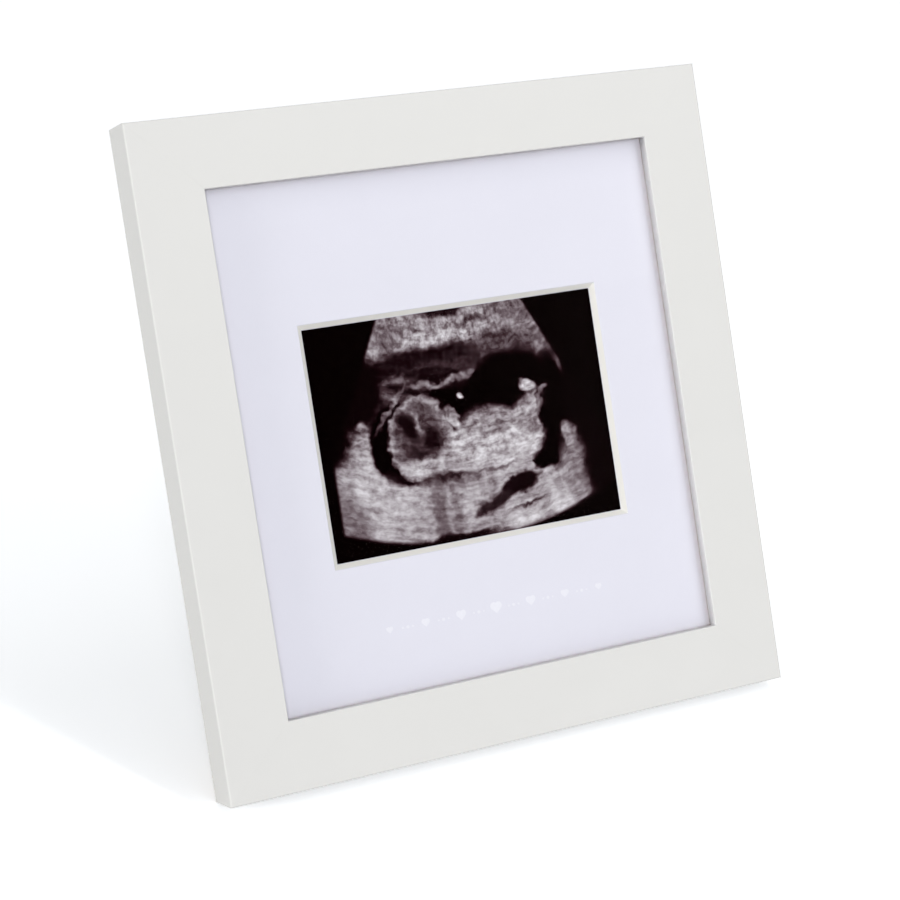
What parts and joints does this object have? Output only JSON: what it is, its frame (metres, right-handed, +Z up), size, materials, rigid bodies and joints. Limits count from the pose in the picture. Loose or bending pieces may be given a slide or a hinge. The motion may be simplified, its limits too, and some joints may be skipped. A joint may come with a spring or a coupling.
{
  "type": "ultrasound photo frame",
  "caption": "Leaning table picture frame with mitred white moulding, glass, bevelled mat, ultrasound print, back panel held by turn buttons, and a hinged strut that folds flat.",
  "frame": {"origin": "On the surface that the frame stands on, under the centre of its bounding box, with the strut open.", "axes": "+X to the right as the viewer faces the picture, +Y from the picture towards the strut, +Z up."},
  "size_m": [0.19, 0.091, 0.1931],
  "materials": {
    "white_moulding": "MDF moulding in a satin off-white wrap, bare brown board on the back",
    "clear_glass": "thin clear picture glass",
    "white_mat": "cool white mat board with a cream core",
    "glossy_print": "glossy black and white print",
    "corrugated_card": "brown corrugated card",
    "black_faced_board": "MDF faced with matt black paper",
    "zinc_steel": "bright zinc plate",
    "nickel_steel": "nickel plate"
  },
  "bodies": {
    "frame": {"rail_top": "white_moulding", "rail_bottom": "white_moulding", "rail_left": "white_moulding", "rail_right": "white_moulding", "v_nail_bottom_left_outer": "zinc_steel", "v_nail_bottom_left_inner": "zinc_steel", "v_nail_bottom_right_outer": "zinc_steel", "v_nail_bottom_right_inner": "zinc_steel", "v_nail_top_left_outer": "zinc_steel", "v_nail_top_left_inner": "zinc_steel", "v_nail_top_right_outer": "zinc_steel", "v_nail_top_right_inner": "zinc_steel", "glass_pane": "clear_glass", "mat_board": "white_mat", "scan_print": "glossy_print", "filler_card": "corrugated_card", "back_panel": "black_faced_board", "button_screw_left_lower": "nickel_steel", "button_screw_left_upper": "nickel_steel", "button_screw_right_lower": "nickel_steel", "button_screw_right_upper": "nickel_steel", "hinge_plate": "zinc_steel", "hinge_pin": "nickel_steel", "plate_rivet_left": "nickel_steel", "plate_rivet_right": "nickel_steel"},
    "strut": {"strut": "black_faced_board", "strut_leaf": "zinc_steel", "strut_rivet_left": "nickel_steel", "strut_rivet_right": "nickel_steel"},
    "turn_button_left_lower": {"turn_button_left_lower": "zinc_steel"},
    "turn_button_left_upper": {"turn_button_left_upper": "zinc_steel"},
    "turn_button_right_lower": {"turn_button_right_lower": "zinc_steel"},
    "turn_button_right_upper": {"turn_button_right_upper": "zinc_steel"}
  },
  "joints": [
    {"name": "strut_fold", "type": "hinge", "parent": "frame", "child": "strut", "pos_m": [0, 0.01608, 0.1209], "axis": [-1, 0, 0], "range_deg": [0, 32]},
    {"name": "turn_left_lower", "type": "hinge", "parent": "frame", "child": "turn_button_left_lower", "pos_m": [-0.086, -0.01341, 0.04652], "axis": [0, 0.9354, -0.3535], "continuous": true},
    {"name": "turn_left_upper", "type": "hinge", "parent": "frame", "child": "turn_button_left_upper", "pos_m": [-0.086, 0.02229, 0.141], "axis": [0, 0.9354, -0.3535], "continuous": true},
    {"name": "turn_right_lower", "type": "hinge", "parent": "frame", "child": "turn_button_right_lower", "pos_m": [0.086, -0.01341, 0.04652], "axis": [0, 0.9354, -0.3535], "continuous": true},
    {"name": "turn_right_upper", "type": "hinge", "parent": "frame", "child": "turn_button_right_upper", "pos_m": [0.086, 0.02229, 0.141], "axis": [0, 0.9354, -0.3535], "continuous": true}
  ]
}
